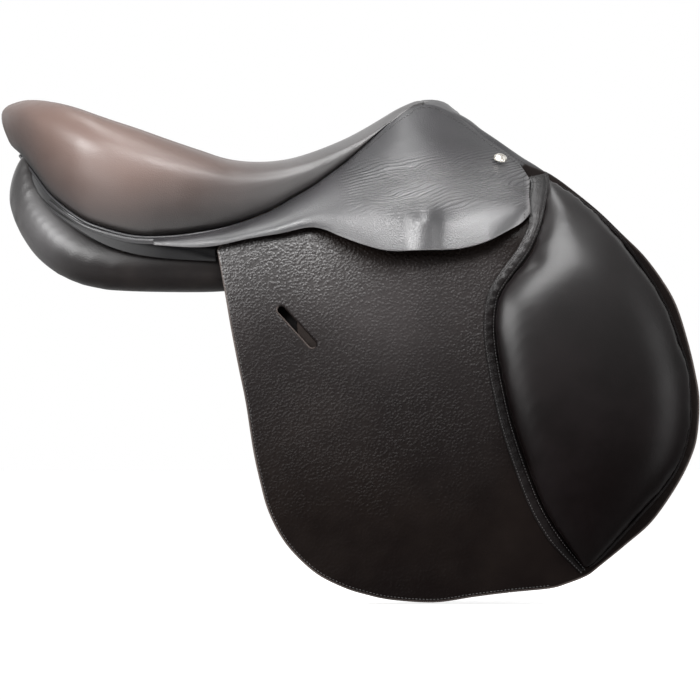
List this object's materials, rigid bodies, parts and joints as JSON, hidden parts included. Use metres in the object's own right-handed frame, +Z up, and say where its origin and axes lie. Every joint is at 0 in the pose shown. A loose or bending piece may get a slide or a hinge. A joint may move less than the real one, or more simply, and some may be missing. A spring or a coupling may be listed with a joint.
{
  "type": "english jumping saddle",
  "caption": "Forward-cut close-contact riding saddle with a deep leather seat, skirts, folding flaps with knee pads, flocked panels, stirrup bars and girth straps on a sprung tree.",
  "frame": {"origin": "midway between the panels, at the level of their lowest line, where the saddle lies on the horse's back", "axes": "+X towards the pommel, +Z up, -Y the off (right) side"},
  "size_m": [0.6282, 0.41, 0.4525],
  "materials": {
    "seat_leather": "dark brown smooth hide, satin sheen",
    "skirt_leather": "black smooth hide, satin sheen",
    "flap_leather": "dark brown pebbled hide, low sheen",
    "sweat_leather": "dark brown lining hide, low sheen",
    "pad_leather": "foam cushion in smooth dark hide, satin sheen",
    "band_leather": "soft creased black hide, low sheen",
    "block_foam": "firm foam block in thin dark hide",
    "panel_leather": "wool-flocked cushion in smooth dark hide, satin sheen",
    "bridge_leather": "dark brown smooth hide, satin sheen",
    "strap_leather": "waxed brown strap hide",
    "webbing": "natural woven linen web",
    "laminated_beech": "laminated beech, bare",
    "seat_foam": "latex foam with cloth",
    "bar_steel": "forged steel, brushed",
    "spring_steel": "blued spring steel",
    "nail_silver": "polished, bare dome"
  },
  "bodies": {
    "tree": {"bar_rivet_front_left": "bar_steel", "bar_rivet_front_right": "bar_steel", "bar_rivet_rear_left": "bar_steel", "bar_rivet_rear_right": "bar_steel", "cantle_facing": "skirt_leather", "catch_pin_left": "bar_steel", "catch_pin_right": "bar_steel", "flap_top_left": "flap_leather", "flap_top_right": "flap_leather", "front_bridge": "bridge_leather", "front_girth_web": "webbing", "gullet_plate": "spring_steel", "head_plate": "spring_steel", "knee_block_left": "block_foam", "knee_block_right": "block_foam", "knee_pad_top_left": "pad_leather", "knee_pad_top_right": "pad_leather", "nail_left": "nail_silver", "nail_right": "nail_silver", "panel_left": "panel_leather", "panel_right": "panel_leather", "pommel_facing": "skirt_leather", "rear_bridge": "bridge_leather", "rear_girth_web": "webbing", "seat_cover": "seat_leather", "seat_foam": "seat_foam", "seat_web": "webbing", "seat_welt": "skirt_leather", "skirt_left": "skirt_leather", "skirt_right": "skirt_leather", "stirrup_bar_left": "bar_steel", "stirrup_bar_right": "bar_steel", "sweat_flap_left": "sweat_leather", "sweat_flap_right": "sweat_leather", "thigh_block_left": "block_foam", "thigh_block_right": "block_foam", "tree_cantle": "laminated_beech", "tree_head": "laminated_beech", "tree_rail_left": "laminated_beech", "tree_rail_right": "laminated_beech", "tree_spring_left": "spring_steel", "tree_spring_right": "spring_steel"},
    "flap_left": {"flap_left": "flap_leather", "knee_pad_left": "pad_leather", "knee_band_left": "band_leather"},
    "skirt_lobe_left": {"skirt_lobe_left": "skirt_leather"},
    "bar_catch_left": {"bar_catch_left": "bar_steel"},
    "girth_straps_left": {"billet_front_left": "strap_leather", "billet_middle_left": "strap_leather", "billet_rear_left": "strap_leather"},
    "buckle_guard_left": {"buckle_guard_left": "strap_leather"},
    "flap_right": {"flap_right": "flap_leather", "knee_pad_right": "pad_leather", "knee_band_right": "band_leather"},
    "skirt_lobe_right": {"skirt_lobe_right": "skirt_leather"},
    "bar_catch_right": {"bar_catch_right": "bar_steel"},
    "girth_straps_right": {"billet_front_right": "strap_leather", "billet_middle_right": "strap_leather", "billet_rear_right": "strap_leather"},
    "buckle_guard_right": {"buckle_guard_right": "strap_leather"}
  },
  "joints": [
    {"name": "flap_fold_left", "type": "hinge", "parent": "tree", "child": "flap_left", "pos_m": [-0.072, 0.14505, -0.009], "axis": [0.9774, -0.0475, 0.2058], "range_deg": [0, 75]},
    {"name": "skirt_fold_left", "type": "hinge", "parent": "tree", "child": "skirt_lobe_left", "pos_m": [0.008, 0.14407, 0.058], "axis": [0.9907, -0.0545, 0.1245], "range_deg": [0, 75]},
    {"name": "catch_turn_left", "type": "hinge", "parent": "tree", "child": "bar_catch_left", "pos_m": [0.081, 0.108, 0.086], "axis": [0, 1, 0], "range_deg": [0, 90]},
    {"name": "girth_swing_left", "type": "hinge", "parent": "tree", "child": "girth_straps_left", "pos_m": [0.056, 0.12723, 0.04], "axis": [0, -0.9744, -0.225], "range_deg": [-3, 8]},
    {"name": "guard_slide_left", "type": "slide", "parent": "girth_straps_left", "child": "buckle_guard_left", "axis": [0, 0.225, -0.9744], "range_m": [0, 0.08]},
    {"name": "flap_fold_right", "type": "hinge", "parent": "tree", "child": "flap_right", "pos_m": [-0.072, -0.14505, -0.009], "axis": [-0.9774, -0.0475, -0.2058], "range_deg": [0, 75]},
    {"name": "skirt_fold_right", "type": "hinge", "parent": "tree", "child": "skirt_lobe_right", "pos_m": [0.008, -0.14407, 0.058], "axis": [-0.9907, -0.0545, -0.1245], "range_deg": [0, 75]},
    {"name": "catch_turn_right", "type": "hinge", "parent": "tree", "child": "bar_catch_right", "pos_m": [0.081, -0.108, 0.086], "axis": [0, 1, 0], "range_deg": [0, 90]},
    {"name": "girth_swing_right", "type": "hinge", "parent": "tree", "child": "girth_straps_right", "pos_m": [0.056, -0.12723, 0.04], "axis": [0, -0.9744, 0.225], "range_deg": [-3, 8]},
    {"name": "guard_slide_right", "type": "slide", "parent": "girth_straps_right", "child": "buckle_guard_right", "axis": [0, -0.225, -0.9744], "range_m": [0, 0.08]}
  ]
}
